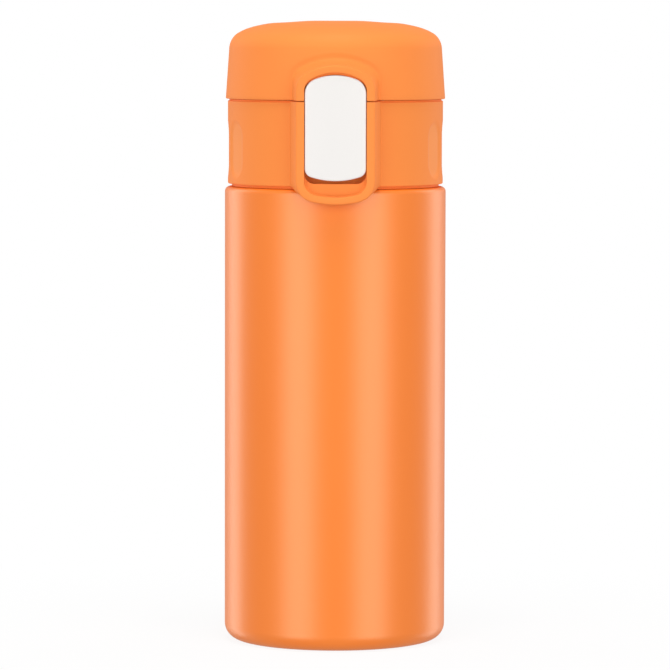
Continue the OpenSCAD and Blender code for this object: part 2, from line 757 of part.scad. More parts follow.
module cap_inner_cover() {
    color("whitesmoke") rotate_extrude() {
        translate([cap_stem_r + press_room, cover_z]) square([cover_top_r - cap_stem_r - press_room, cover_t]);
        translate([cover_r - cover_t, collar_top + cover_lift]) square([cover_t, cover_z - collar_top - cover_lift + eps]);
    }
}

module cap_seal() {
    plug_top_r = spout_bore_r - cap_seal_room;
    stem_top = cover_z + cover_t;
    color("lightgray") rotate_extrude() polygon([
        [0, cap_seal_z - cap_plug_h], [plug_top_r - cap_plug_taper, cap_seal_z - cap_plug_h],
        [plug_top_r, cap_seal_z], [spout_r, cap_seal_z], [spout_r, cover_z], [cap_stem_r, cover_z],
        [cap_stem_r, stem_top], [cap_stem_r + cap_head_over, stem_top],
        [cap_stem_r + cap_head_over, stem_top + cap_head_t], [0, stem_top + cap_head_t]]);
}

module catch_plate() {
    color("silver") {
        catch_outline(catch_y);
        along_y(catch_edge_y, catch_y + catch_t / 2)
            translate([ledge_in - catch_w / 2, catch_top - catch_ledge_t])
                square([catch_w - 2 * ledge_in, catch_ledge_t]);
    }
}

// ---- hinge and button ----

module hinge_pin() {
    color("silver") rod_x(hinge_pin_r, pin_short - ear_out, ear_out - pin_short, hinge_y, hinge_z);
}

module hinge_spring() {
    reach = spring_half - hinge_wire_r - spring_room;
    color("dimgray") translate([0, hinge_y, hinge_z])
        torsion_coil(hinge_wire_r, hinge_coil_r, hinge_turns, -reach, reach, hinge_leg, hinge_leg);
}

module button() {
    half = button_w / 2;
    color("white") difference() {
        union() {
            intersection() {
                along_y(face_y - 1, button_back_y)
                    slot_outline(half, button_z, button_top, button_foot_rise, button_foot_corner,
                                 button_top - arch_z, button_top_corner);
                behind_face(button_inset, button_z - 1, button_top + 1);
            }
            for (x0 = [-half + lug_room, half - lug_room - lug_w]) {
                rod_x(lug_r, x0, x0 + lug_w, button_pin_y, button_pin_z);
                translate([x0, button_back_y - eps, button_pin_z - lug_r])
                    cube([lug_w, button_pin_y - button_back_y + eps, 2 * lug_r]);
            }
            translate([-hook_w / 2, button_back_y - eps, hook_z]) cube([hook_w, hook_y - button_back_y + eps, hook_t]);
            translate([0, button_back_y + post_h, button_spring_z]) rotate([90, 0, 0])
                cylinder(r = button_spring_r - 3 * button_wire_r, h = post_h + eps);
        }
        rod_x(button_pin_r + pin_room, -cut, cut, button_pin_y, button_pin_z);
    }
}

module button_pin() {
    reach = pocket_half + pin_seat - pin_short;
    color("silver") rod_x(button_pin_r, -reach, reach, button_pin_y, button_pin_z);
}

module button_spring() {
    color("dimgray") translate([0, 0, button_spring_z])
        compression_coil(button_wire_r, button_spring_r - button_wire_r, button_turns,
                         button_back_y + button_wire_r + press_room, pocket_y - button_wire_r - press_room);
}

outer_shell();
inner_liner();
outer_bottom();
base_cover();
seal_bead();
copper_foil();
getter();
getter_clip();
collar();
stopper();
mouth_seal();
spout();
spout_gasket();
cap_shell();
cap_inner_cover();
cap_seal();
catch_plate();
hinge_pin();
hinge_spring();
button();
button_pin();
button_spring();
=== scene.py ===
import json
import math

import bmesh
import bpy
from mathutils import Matrix, Vector


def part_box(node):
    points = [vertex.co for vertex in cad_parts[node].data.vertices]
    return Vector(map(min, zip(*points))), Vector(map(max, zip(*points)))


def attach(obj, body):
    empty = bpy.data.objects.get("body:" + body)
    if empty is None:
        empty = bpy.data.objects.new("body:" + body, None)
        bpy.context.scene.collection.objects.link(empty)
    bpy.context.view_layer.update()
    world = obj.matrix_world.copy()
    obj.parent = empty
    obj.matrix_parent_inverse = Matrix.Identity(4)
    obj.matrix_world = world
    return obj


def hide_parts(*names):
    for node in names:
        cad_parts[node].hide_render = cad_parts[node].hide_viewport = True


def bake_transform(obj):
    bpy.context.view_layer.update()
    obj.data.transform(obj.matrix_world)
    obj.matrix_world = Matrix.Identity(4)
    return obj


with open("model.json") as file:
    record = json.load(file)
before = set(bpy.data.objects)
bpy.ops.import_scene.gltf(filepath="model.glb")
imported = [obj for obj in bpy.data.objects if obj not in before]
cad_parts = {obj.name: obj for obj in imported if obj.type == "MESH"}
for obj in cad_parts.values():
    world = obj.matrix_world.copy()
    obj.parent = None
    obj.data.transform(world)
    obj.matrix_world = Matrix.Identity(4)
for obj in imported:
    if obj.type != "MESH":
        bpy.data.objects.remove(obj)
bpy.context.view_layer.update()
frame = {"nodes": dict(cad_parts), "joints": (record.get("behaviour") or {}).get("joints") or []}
print("frame loaded:", len(frame["nodes"]), "nodes")

mm = 0.001


# measurements in millimetres, read from the frame

def nodeBox(name):
    low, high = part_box(name)
    return low / mm, high / mm


def jointPlace(name):
    joint = next(j for j in frame["joints"] if j["name"] == name)
    return Vector(joint["pos_m"]) / mm


bodyR = nodeBox("outer_shell")[1].x
faceY = nodeBox("collar")[0].y
capHigh = nodeBox("cap_shell")[1]
linerLow, linerHigh = nodeBox("inner_liner")
hingePlace = jointPlace("cap_open")
buttonPlace = jointPlace("button_press")


# paths and meshes

def arcPoints(centre, radius, start, end, steps):
    # points on an arc, angles in degrees, both ends included
    turns = [math.radians(start + (end - start) * k / steps) for k in range(steps + 1)]
    return [Vector((centre[0] + radius * math.cos(a), centre[1] + radius * math.sin(a))) for a in turns]


def roundedPath(corners, closed=True, arcStep=15):
    # corners are (across, up, rounding); a rounded corner becomes an arc
    path = []
    count = len(corners)
    for i, (x, z, rounding) in enumerate(corners):
        here = Vector((x, z))
        if rounding == 0 or (not closed and i in (0, count - 1)):
            path.append(here)
            continue
        before = (Vector(corners[i - 1][:2]) - here).normalized()
        after = (Vector(corners[(i + 1) % count][:2]) - here).normalized()
        half = before.angle(after) / 2
        centre = here + (before + after).normalized() * rounding / math.sin(half)
        first = here + before * rounding / math.tan(half) - centre
        last = here + after * rounding / math.tan(half) - centre
        sweep = first.angle_signed(last)
        steps = max(2, round(abs(math.degrees(sweep)) / arcStep))
        for k in range(steps + 1):
            a = -sweep * k / steps
            path.append(centre + Matrix.Rotation(a, 2) @ first)
    return path


def quarterRound(turns):
    # rows round an edge of radius 1: how far each lies in from the side, and back from the face
    return [(1 - math.sin(math.radians(a)), 1 - math.cos(math.radians(a))) for a in turns]


def evenly(start, end, steps):
    # values from start up to but not including end
    return [start + (end - start) * k / steps for k in range(steps)]


def smooth(x):
    x = min(1, max(0, x))
    return x * x * (3 - 2 * x)


def frontOf(radius, x):
    # depth of a round wall's front at a place across
    return -math.sqrt(radius ** 2 - x ** 2)


def mergeDoubles(bm):
    bmesh.ops.remove_doubles(bm, verts=bm.verts, dist=0.0005)


def faceOut(bm):
    bmesh.ops.recalc_face_normals(bm, faces=bm.faces)


def pairsOf(row, closed=True):
    # each item of a row with the next
    return list(zip(row, row[1:] + (row[:1] if closed else [])))


def chain(bm, places, closed=False):
    # a row of vertices joined by edges
    verts = [bm.verts.new(p) for p in places]
    for pair in pairsOf(verts, closed):
        bm.edges.new(pair)
    return verts


def spun(path, closed=True, steps=144):
    # a shape of revolution about Z from a path of (radius, height)
    bm = bmesh.new()
    verts = chain(bm, [(p[0], 0, p[1]) for p in path], closed)
    bmesh.ops.spin(bm, geom=verts + bm.edges[:], cent=(0, 0, 0), axis=(0, 0, 1), dvec=(0, 0, 0),
                   angle=math.tau, steps=steps, use_merge=True, use_duplicate=False)
    mergeDoubles(bm)
    faceOut(bm)
    return bm


def extrudeChain(bm, verts, places, closed=False):
    # extrudes a row of vertices and sets the new row down at the given places
    edges = [bm.edges.get(pair) for pair in pairsOf(verts, closed)]
    made = set(bmesh.ops.extrude_edge_only(bm, edges=edges)["geom"])
    row = []
    for v, place in zip(verts, places):
        new = next(e.other_vert(v) for e in v.link_edges if e.other_vert(v) in made)
        new.co = place
        row.append(new)
    return row


def atDepth(row, y):
    # the places of a row of vertices, moved along Y to one depth
    return [Vector((v.co.x, y, v.co.z)) for v in row]


def cover(bm, ring):
    # closes a ring of vertices with one face
    edges = [bm.edges.get(pair) or bm.edges.new(pair) for pair in pairsOf(ring)]
    bmesh.ops.edgeloop_fill(bm, edges=edges)


def tube(rings):
    # a closed skin over rings of places
    bm = bmesh.new()
    verts = chain(bm, rings[0], closed=True)
    cover(bm, verts)
    for ring in rings[1:]:
        verts = extrudeChain(bm, verts, ring, closed=True)
    cover(bm, verts)
    faceOut(bm)
    return bm


def openRim(bm):
    # vertices round the open edge, in order
    edge = next(e for e in bm.edges if e.is_boundary)
    rim = list(edge.verts)
    while True:
        edge = next(e for e in rim[-1].link_edges if e.is_boundary and e.other_vert(rim[-1]) != rim[-2])
        if edge.other_vert(rim[-1]) == rim[0]:
            return rim
        rim.append(edge.other_vert(rim[-1]))


def asMesh(bm, name="spare"):
    mesh = bpy.data.meshes.new(name)
    bm.to_mesh(mesh)
    bm.free()
    return mesh


def addMesh(bm, other):
    # adds a finished bmesh to another
    spare = asMesh(other)
    bm.from_mesh(spare)
    bpy.data.meshes.remove(spare)


def linked(name, data):
    # an object in the scene, at the origin
    thing = bpy.data.objects.new(name, data)
    bpy.context.scene.collection.objects.link(thing)
    return thing


def combined(bm, other, operation):
    # joins two closed shapes, or cuts one with the other
    parts = [linked("spare", asMesh(shape)) for shape in (bm, other)]
    cut = parts[0].modifiers.new("cut", "BOOLEAN")
    cut.operation = operation
    cut.solver = "EXACT"
    cut.object = parts[1]
    ready = parts[0].evaluated_get(bpy.context.evaluated_depsgraph_get())
    result = bmesh.new()
    result.from_mesh(ready.to_mesh())
    ready.to_mesh_clear()
    mergeDoubles(result)
    for part in parts:
        mesh = part.data
        bpy.data.objects.remove(part)
        bpy.data.meshes.remove(mesh)
    return result


def prism(path, x0, x1):
    # a closed (y, z) outline drawn out along X
    bm = bmesh.new()
    cover(bm, chain(bm, [(x0, p[0], p[1]) for p in path], closed=True))
    made = bmesh.ops.extrude_face_region(bm, geom=bm.faces[:])["geom"]
    moved = [v for v in made if isinstance(v, bmesh.types.BMVert)]
    bmesh.ops.translate(bm, vec=(x1 - x0, 0, 0), verts=moved)
    faceOut(bm)
    return bm


def cylinder(radius, length, place, sides):
    bm = bmesh.new()
    bmesh.ops.create_cone(bm, cap_ends=True, cap_tris=False, segments=sides, radius1=radius,
                          radius2=radius, depth=length, matrix=place)
    return bm


def rod(radius, x0, x1, y, z):
    # a cylinder along X
    place = Matrix.Translation(((x0 + x1) / 2, y, z)) @ Matrix.Rotation(math.pi / 2, 4, "Y")
    return cylinder(radius, x1 - x0, place, sides=48)


def softened(bm, edges, edge):
    bmesh.ops.bevel(bm, geom=edges, offset=edge, segments=3, profile=0.5, affect="EDGES", material=-1)


def softRod(radius, low, high, edge=0.15):
    # a rod along X through the middle of a box, with its ends' edges rounded
    middle = low.lerp(high, 0.5)
    bm = rod(radius, low.x, high.x, middle.y, middle.z)
    softened(bm, [e for e in bm.edges if abs(e.verts[0].co.x - e.verts[1].co.x) < 0.001], edge)
    return bm


def brick(low, high, edge=0):
    bm = bmesh.new()
    size = Vector(high) - Vector(low)
    place = Matrix.Translation((Vector(low) + Vector(high)) / 2) @ Matrix.Diagonal((*size, 1))
    bmesh.ops.create_cube(bm, size=1, matrix=place)
    if edge:
        softened(bm, bm.edges[:], edge)
    return bm


def finishPiece(name, bm, material, body, node, sharp=32):
    bmesh.ops.scale(bm, vec=(mm, mm, mm), verts=bm.verts)
    mesh = asMesh(bm, name)
    mesh.shade_smooth()
    mesh.set_sharp_from_angle(angle=math.radians(sharp))
    mesh.materials.append(material)
    piece = linked(name, mesh)
    if body:
        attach(piece, body)
    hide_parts(node)
    return piece


# shader groups

def newGroup(name, inputs, outputs):
    group = bpy.data.node_groups.new(name, "ShaderNodeTree")
    for label, kind, value in inputs:
        socket = group.interface.new_socket(label, in_out="INPUT", socket_type=kind)
        socket.default_value = value
    for label, kind in outputs:
        group.interface.new_socket(label, in_out="OUTPUT", socket_type=kind)
    return group


def setInputs(node, values):
    for key, value in values.items():
        node.inputs[key].default_value = value


def addNode(tree, kind, values={}, **settings):
    node = tree.nodes.new(kind)
    for key, value in settings.items():
        setattr(node, key, value)
    setInputs(node, values)
    return node


def join(tree, *wires):
    # each wire is (node, its output, node, its input)
    for source, output, target, inlet in wires:
        tree.links.new(source.outputs[output], target.inputs[inlet])


def grainGroup():
    # fine moulded or sprayed texture: a height for bump and a faint change of shade
    group = newGroup("surfaceGrain",
                     [("Size", "NodeSocketFloat", 0.3), ("Shade", "NodeSocketFloat", 0.04)],
                     [("Height", "NodeSocketFloat"), ("Tint", "NodeSocketFloat")])
    inlet = addNode(group, "NodeGroupInput")
    outlet = addNode(group, "NodeGroupOutput")
    place = addNode(group, "ShaderNodeTexCoord")
    scale = addNode(group, "ShaderNodeMath", {0: 1 / mm}, operation="DIVIDE")
    fine = addNode(group, "ShaderNodeTexNoise", {"Detail": 2.0})
    broad = addNode(group, "ShaderNodeTexNoise", {"Scale": 60.0, "Detail": 3.0})
    both = addNode(group, "ShaderNodeMath", operation="ADD")
    centred = addNode(group, "ShaderNodeMath", {1: 1.0}, operation="SUBTRACT")
    tint = addNode(group, "ShaderNodeMath", {2: 0.5}, operation="MULTIPLY_ADD")
    join(group, (inlet, "Size", scale, 1), (scale, 0, fine, "Scale"), (place, "Object", fine, "Vector"),
         (place, "Object", broad, "Vector"), (fine, "Fac", both, 0), (broad, "Fac", both, 1),
         (both, 0, centred, 0), (centred, 0, tint, 0), (inlet, "Shade", tint, 1),
         (fine, "Fac", outlet, "Height"), (tint, 0, outlet, "Tint"))
    return group


surfaceGrain = grainGroup()


# materials

def plain(colour):
    # a display colour, 0 to 255, as scene values
    def straight(c):
        c = c / 255
        return c / 12.92 if c <= 0.04045 else ((c + 0.055) / 1.055) ** 2.4
    return (*(straight(c) for c in colour), 1)


def newMaterial(name):
    material = bpy.data.materials.new(name)
    material.use_nodes = True
    return material, material.node_tree, material.node_tree.nodes["Principled BSDF"]


def finish(name, dark, light, roughness, grain, shade, bump, values={}):
    # two near colours mixed by the grain, and a bump from it; grain and bump in millimetres
    material, tree, shader = newMaterial(name)
    setInputs(shader, {"Roughness": roughness, **values})
    texture = addNode(tree, "ShaderNodeGroup", {"Size": grain, "Shade": shade}, node_tree=surfaceGrain)
    mix = addNode(tree, "ShaderNodeMix", {"A": plain(dark), "B": plain(light)}, data_type="RGBA")
    dent = addNode(tree, "ShaderNodeBump", {"Strength": 1.0, "Distance": bump * mm})
    join(tree, (texture, "Tint", mix, "Factor"), (mix, "Result", shader, "Base Color"),
         (texture, "Height", dent, "Height"), (dent, "Normal", shader, "Normal"))
    return material


def paintHighlight(material, attribute, colour, share):
    # mixes a painted highlight colour in where a mesh attribute says
    tree = material.node_tree
    shader = tree.nodes["Principled BSDF"]
    base = shader.inputs["Base Color"].links[0].from_node
    mask = addNode(tree, "ShaderNodeAttribute", attribute_name=attribute)
    part = addNode(tree, "ShaderNodeMath", {1: share}, operation="MULTIPLY")
    mix = addNode(tree, "ShaderNodeMix", {"B": plain(colour)}, data_type="RGBA")
    join(tree, (mask, "Fac", part, 0), (part, 0, mix, "Factor"), (base, "Result", mix, "A"),
         (mix, "Result", shader, "Base Color"))


coatGloss = {"IOR": 1.6, "Specular IOR Level": 1.0, "Specular Tint": (1, 0.98, 0.72, 1)}
coat = finish("satinCoat", (251, 121, 10), (252, 126, 14), roughness=0.37, grain=0.35, shade=0.5,
              bump=0.004, values=coatGloss)
lidPlastic = finish("lidPlastic", (252, 142, 68), (254, 147, 72), roughness=0.58, grain=0.5, shade=0.4,
                    bump=0.006, values={"Specular IOR Level": 0.12})
# painted highlight: the dimples get a lighter colour that stands in for the grazing reflection in them
paintHighlight(lidPlastic, "recess", (255, 170, 104), share=0.3)
buttonPlastic = finish("buttonPlastic", (230, 227, 224), (235, 232, 229), roughness=0.4, grain=0.5,
                       shade=0.4, bump=0.003)
innerPlastic = finish("innerPlastic", (232, 232, 230), (240, 240, 238), roughness=0.42, grain=0.6,
                      shade=0.4, bump=0.004)
silicone = finish("silicone", (205, 207, 208), (214, 216, 217), roughness=0.6, grain=0.4, shade=0.4,
                  bump=0.003, values={"Subsurface Weight": 0.2})
polishedSteel = finish("polishedSteel", (196, 198, 200), (204, 206, 208), roughness=0.22, grain=0.25,
                       shade=0.5, bump=0.001, values={"Metallic": 1.0})
springSteel = finish("springSteel", (180, 181, 184), (190, 191, 194), roughness=0.28, grain=0.2,
                     shade=0.4, bump=0.001, values={"Metallic": 1.0})
copper = finish("copperFoil", (205, 128, 92), (214, 138, 102), roughness=0.3, grain=0.5, shade=0.5,
                bump=0.004, values={"Metallic": 1.0})
getterMetal = finish("getterMetal", (120, 124, 128), (132, 136, 140), roughness=0.55, grain=0.2,
                     shade=0.6, bump=0.006, values={"Metallic": 0.6})
print("materials made")


# bottle: the coated wall, the steel neck with its thread, the liner and the base cover

bottle = dict(wall=0.5, baseRound=4.8, shoulderRound=1.5, footR=26.6, recess=4.9, shoulder=135.9,
              coatEdge=27.0, coatRound=0.1, neckR=26.2, neckFoot=0.5, neckLap=0.3, neckSink=0.05,
              neckStep=0.6)


def coatedWall():
    b = bottle
    inR, wall, under = bodyR - b["wall"], b["wall"], b["shoulder"] - b["wall"]
    path = roundedPath([
        (b["footR"], b["recess"], 0), (b["footR"], 0, 0.4), (bodyR, 0, b["baseRound"]),
        (bodyR, b["shoulder"], b["shoulderRound"]), (b["coatEdge"], b["shoulder"], b["coatRound"]),
        (b["coatEdge"], under, b["coatRound"]), (inR, under, b["shoulderRound"] - wall),
        (inR, wall, b["baseRound"] - wall), (b["footR"] + wall, wall, 0.2),
        (b["footR"] + wall, b["recess"], 0)], arcStep=9)
    finishPiece("body_wall", spun(path, steps=192), coat, "bottle", "outer_shell")


def helix(section, turns, lead, runout, stepsPerTurn=48, tip=0.08):
    # a ridge of (radius, height) corners that climbs round Z and dies away at both ends
    steps = round(turns * stepsPerTurn)
    root = section[0][0]

    def row(k):
        turn = turns * k / steps
        full = min(1, tip + min(turn, turns - turn) * 360 / runout)
        places = []
        for r, z in section:
            r = root + (r - root) * full
            places.append((r * math.cos(turn * math.tau), r * math.sin(turn * math.tau), z + lead * turn))
        return places

    return tube([row(k) for k in range(steps + 1)])


def ridgeSection(root, crest, middle, rootW, crestW, soft=0.15):
    # corners of a thread's ridge between two radii, with the crest's edges taken off
    out = 1 if crest > root else -1
    return [(root, middle - rootW / 2), (crest - out * soft, middle - crestW / 2 - soft / 3),
            (crest, middle - crestW / 2 + soft), (crest, middle + crestW / 2 - soft),
            (crest - out * soft, middle + crestW / 2 + soft / 3), (root, middle + rootW / 2)]


thread = dict(lead=5.0, turns=1.4, rootW=1.9, crestW=0.9, foot=139.5, offset=1.65, runout=25,
              rootIn=0.2, crestR=27.1, nutTurns=1.2, nutR=26.65, nutRootR=27.75)


def steelNeck():
    b, t = bottle, thread
    low, under = b["shoulder"] - b["neckSink"], b["shoulder"] - b["wall"]
    top, lapR, inR = linerHigh.z - b["neckStep"], b["coatEdge"] + b["neckLap"], b["neckR"] - b["wall"]
    path = roundedPath([
        (lapR, low, 0), (b["neckR"], low, b["neckFoot"]), (b["neckR"], top, 0), (inR, top, 0),
        (inR, under, 0.3), (lapR, under, 0)])
    bm = spun(path)
    section = ridgeSection(b["neckR"] - t["rootIn"], t["crestR"], t["foot"] + t["offset"], t["rootW"],
                           t["crestW"])
    addMesh(bm, helix(section, t["turns"], t["lead"], t["runout"]))
    finishPiece("bottle_neck", bm, polishedSteel, "bottle", "outer_shell")


liner = dict(wall=0.5, bottomRound=9, shoulderRound=3, shoulderDrop=3.5, mouthR=23.5, lip=0.6)


def innerLiner():
    wall, bottomRound, shoulderRound, shoulderDrop, mouthR, lip = liner.values()
    outR, low, top, neckR = linerHigh.x, linerLow.z, linerHigh.z, bottle["neckR"]
    shoulder = bottle["shoulder"] - shoulderDrop
    path = roundedPath([
        (0, low, 0), (outR, low, bottomRound), (outR, shoulder, shoulderRound),
        (mouthR + wall, shoulder, 0.4), (mouthR + wall, top - lip, 0), (neckR, top - lip, 0),
        (neckR, top, 0.29), (mouthR, top, 0.45), (mouthR, shoulder - wall, 0.8),
        (outR - wall, shoulder - wall, shoulderRound - wall), (outR - wall, low + wall, bottomRound - wall),
        (0, low + wall, 0)], closed=False, arcStep=9)
    finishPiece("steel_liner", spun(path, closed=False), polishedSteel, "bottle",
                "inner_liner")


baseDisc = dict(ringIn=4, ringOut=3.6, step=0.2, soft=0.3, edge=0.2, gap=0.02)


def baseCover():
    ringIn, ringOut, step, soft, edge, gap = baseDisc.values()
    low, high = nodeBox("base_cover")
    path = roundedPath([
        (0, low.z + step, 0), (high.x - ringIn, low.z + step, soft), (high.x - ringOut, low.z, soft),
        (high.x - gap, low.z, edge), (high.x - gap, high.z, 0), (0, high.z, 0)], closed=False)
    finishPiece("base_cover_disc", spun(path, closed=False), coat, "bottle", "base_cover")


coatedWall()
steelNeck()
innerLiner()
baseCover()
print("bottle made")


# outlines shared by the cap, the collar and the button

front = dict(faceR=50.0, pocket=9.1, rim=2.25, sideways=1.133, edge=0.5, inEdge=0.15, topEdge=0.4,
             archSpring=164.7, archRise=5.4, archCorner=4.0)
quarter = (0, 22, 45, 68, 90)


def faceAt(x, inset=0):
    # depth of the bezel's curved face at a place across
    return faceY + front["faceR"] + frontOf(front["faceR"] - inset, x)


def archHalf(half, rise, corner, spring, up, legZs, cornerSteps=9, crownSteps=10):
    # right half of a flattened arch: along its leg, round its corner, to the middle of its crown
    run, lift = half - corner, rise - corner
    drop = (run * run - lift * lift) / (2 * lift)
    meet = math.degrees(math.atan2(drop, run))
    leg = [Vector((half, z)) for z in legZs]
    bend = arcPoints((run, 0), corner, 0, meet, cornerSteps)
    crown = arcPoints((0, -drop), rise + drop, meet, 90, crownSteps)[1:]
    return leg + [Vector((p.x, spring + up * p.y)) for p in bend + crown]


def bothHalves(half):
    # the right half of a row, and the left half that mirrors it
    return half + [Vector((-p[0], *p[1:])) for p in reversed(half[:-1])]


# cap: dome, boss round the button's top, pocket, inner wall and hinge knuckles

cap = dict(foot=162.0, footR=capHigh.x, footEdge=0.3, draft=1.0, sideTop=176.7, top=capHigh.z, wall=2.0,
           roundW=15.0, roundH=8.5, roundCorner=5.8, sideRows=12, crownRows=8, windowColumns=12,
           columnTurn=2.5, crownFall=0.6, fallStart=6, fallRun=12, flatEnd=30, flatRun=9,
           insideRise=10.5, frontTop=11, frontWallY=-29.4)

# the boss spreads from the pocket's outline; the lip's rows are (drop, distance behind the face)
boss = dict(side=1.45, top=3.7, rimDrop=0.15, legRows=5, depth=5.0, pocketY=-30.95,
            lip=((0, 1.2), (0.55, 1.25), (0.55, 1.6), (0, 1.65)))

# how far the hollow round the boss runs, and how far it then rises, at the sides and at the top
hollow = dict(sideRun=1.15, sideRise=0.6, topRun=3.55, topRise=0.72, turn=0.45, sweep=0.98,
              dip=0.05, dipEnd=0.9, dipSide=0.6)

knuckle = dict(radius=2.8, inX=3.0, outX=7.0, inset=0.005, webTop=169.0, webY=(31.95, 31.3), webFoot=0.1,
               room=0.3, gap=0.02, gapEnd=11.6, holeR=1.05)


def domeR(z):
    # outside radius of the cap's wall, below its round
    return cap["footR"] - cap["draft"] * (z - cap["foot"]) / (cap["sideTop"] - cap["foot"])


def domePlace(turn, z):
    return Vector((domeR(z) * math.sin(turn), -domeR(z) * math.cos(turn), z))


def crownFall(r):
    # how far the crown falls away from flat, most of it between the middle and the round
    c = cap
    inside = smooth((r - c["fallStart"]) / c["fallRun"])
    return c["crownFall"] * inside * smooth((c["flatEnd"] - r) / c["flatRun"])


def capFrontRow(spreadSide, spreadTop, back, inset=0.0):
    # a row round the boss: spread outwards from the pocket's outline, and set back towards the dome
    f, b = front, boss
    foot = cap["foot"] + cap["footEdge"] - b["rimDrop"] * (1 - back)
    leg = evenly(foot, f["archSpring"], b["legRows"])
    rows = []
    for g in (spreadSide, spreadTop):
        half, corner = f["pocket"] + g * f["sideways"], f["archCorner"] + g
        rows.append(archHalf(half, f["archRise"] + g, corner, f["archSpring"], 1, leg))
    places = []
    for side, top in zip(*rows):
        p = side.lerp(top, smooth((side.y - f["archSpring"]) / f["archRise"]))
        y = (faceAt(p.x) + inset) * (1 - back) + frontOf(domeR(p.y), p.x) * back
        places.append(Vector((p.x, y, p.y)))
    return bothHalves(places)


def capOutside():
    c, f, b, h = cap, front, boss, hollow
    sideFoot = c["foot"] + c["footEdge"]
    sideZs = evenly(sideFoot, c["sideTop"], c["sideRows"]) + [c["sideTop"]]
    path = [(domeR(z), z) for z in sideZs]
    flatR = domeR(c["sideTop"]) - c["roundW"]
    roundHalf = archHalf(c["roundW"], c["roundH"], c["roundCorner"], c["sideTop"], 1, [], 10, 8)
    path += [(flatR + p.x, p.y - crownFall(flatR + p.x)) for p in roundHalf[1:]]
    path += [(r, c["top"] - crownFall(r)) for r in evenly(0, flatR, c["crownRows"])[::-1]]
    bm = spun(path, closed=False)
    window = math.radians(c["windowColumns"] * c["columnTurn"])
    inWindow = []
    for face in bm.faces:
        middle = face.calc_center_median()
        if middle.z < c["sideTop"] and abs(math.atan2(middle.x, -middle.y)) < window:
            inWindow.append(face)
    bmesh.ops.delete(bm, geom=inWindow, context="FACES")

    # the window's edge, up one side, across and down the other
    turns = evenly(0, window, c["windowColumns"])[::-1]
    ends = [(window, z) for z in sideZs] + [(turn, c["sideTop"]) for turn in turns]
    ends += [(-turn, z) for turn, z in reversed(ends[:-1])]
    rim = [v for v in bm.verts if v.is_boundary]
    verts = [min(rim, key=lambda v: (v.co - domePlace(*end)).length_squared) for end in ends]

    # rows over the dome from the window's edge to the boss
    sideOut, topOut = f["rim"] + b["side"], f["rim"] + b["top"]
    first = capFrontRow(sideOut, topOut, 1.0)
    for part in (0.25, 0.5, 0.75):
        places = []
        for (turn, z), p in zip(ends, first):
            newTurn = turn + (math.atan2(p.x, -p.y) - turn) * part
            places.append(domePlace(newTurn, z + (p.z - z) * part))
        verts = extrudeChain(bm, verts, places)
    verts = extrudeChain(bm, verts, first)

    # the hollow, then the boss's rounded rim, the lip and the pocket
    for out in (0.1, 0.2, 0.3, 0.4, 0.52, 0.64, 0.75, 0.85, 0.93, 1):
        rise = 1 - math.cos(math.pi / 2 * h["sweep"] * max(0, out - h["turn"]) / (1 - h["turn"]))
        dip = h["dip"] * math.sin(math.pi * min(1, out / h["dipEnd"])) ** 2
        spread = (sideOut - h["sideRun"] * out, topOut - h["topRun"] * out)
        places = []
        for skin, face in zip(capFrontRow(*spread, 1.0), capFrontRow(*spread, 0.0)):
            lift = smooth((face.z - f["archSpring"]) / f["archRise"])
            back = 1 + dip * (h["dipSide"] + (1 - h["dipSide"]) * lift)
            back -= rise * (h["sideRise"] * (1 - lift) + h["topRise"] * lift)
            places.append(face.lerp(skin, back))
        verts = extrudeChain(bm, verts, places)
    for across, down in quarterRound((85, 64, 42, 21, 0)):
        out = f["rim"] - f["edge"] * across
        verts = extrudeChain(bm, verts, capFrontRow(out, out, f["edge"] * down / b["depth"]))
    for across, down in quarterRound(quarter):
        row = capFrontRow(f["inEdge"] * across, f["topEdge"] * across, 0, f["topEdge"] * down)
        verts = extrudeChain(bm, verts, row)
    for drop, inset in b["lip"]:
        verts = extrudeChain(bm, verts, capFrontRow(0, -drop, 0, inset))
    verts = extrudeChain(bm, verts, atDepth(verts, b["pocketY"]))
    extrudeChain(bm, verts, [Vector((0, v.co.y, v.co.z)) for v in verts])
    mergeDoubles(bm)
    return bm


def capInside():
    c = cap
    w = c["wall"]
    flatR = domeR(c["sideTop"]) - c["roundW"]
    path = [(domeR(c["foot"]) - w, c["foot"])]
    roundHalf = archHalf(c["roundW"] - w, c["roundH"] - w, c["roundCorner"] - w, c["sideTop"], 1,
                         evenly(c["foot"] + c["insideRise"], c["sideTop"], 2), 6, 5)
    path += [(flatR + p.x, p.y) for p in roundHalf]
    path += [(0, c["top"] - w)]
    path = [(r, z - crownFall(r)) for r, z in path]
    bm = spun(path, closed=False)
    for v in bm.verts:
        if v.co.z < c["foot"] + c["frontTop"]:
            v.co.y = max(v.co.y, c["frontWallY"])
    return bm


def rollIn(bm, radius):
    # turns the open edge at the foot inwards in an arc
    rim = openRim(bm)
    flat = [v.co.xy for v in rim]
    start = [v.co.copy() for v in rim]
    side = 1 if sum(a.cross(b) for a, b in pairsOf(flat)) > 0 else -1
    inward = []
    for k in range(len(flat)):
        along = (flat[(k + 1) % len(flat)] - flat[k - 1]).normalized()
        inward.append(Vector((-along.y, along.x, 0)) * side)
    for short, across in quarterRound((22.5, 45, 67.5, 90)):
        down = Vector((0, 0, radius * (short - 1)))
        places = [p + n * radius * across + down for p, n in zip(start, inward)]
        rim = extrudeChain(bm, rim, places, closed=True)


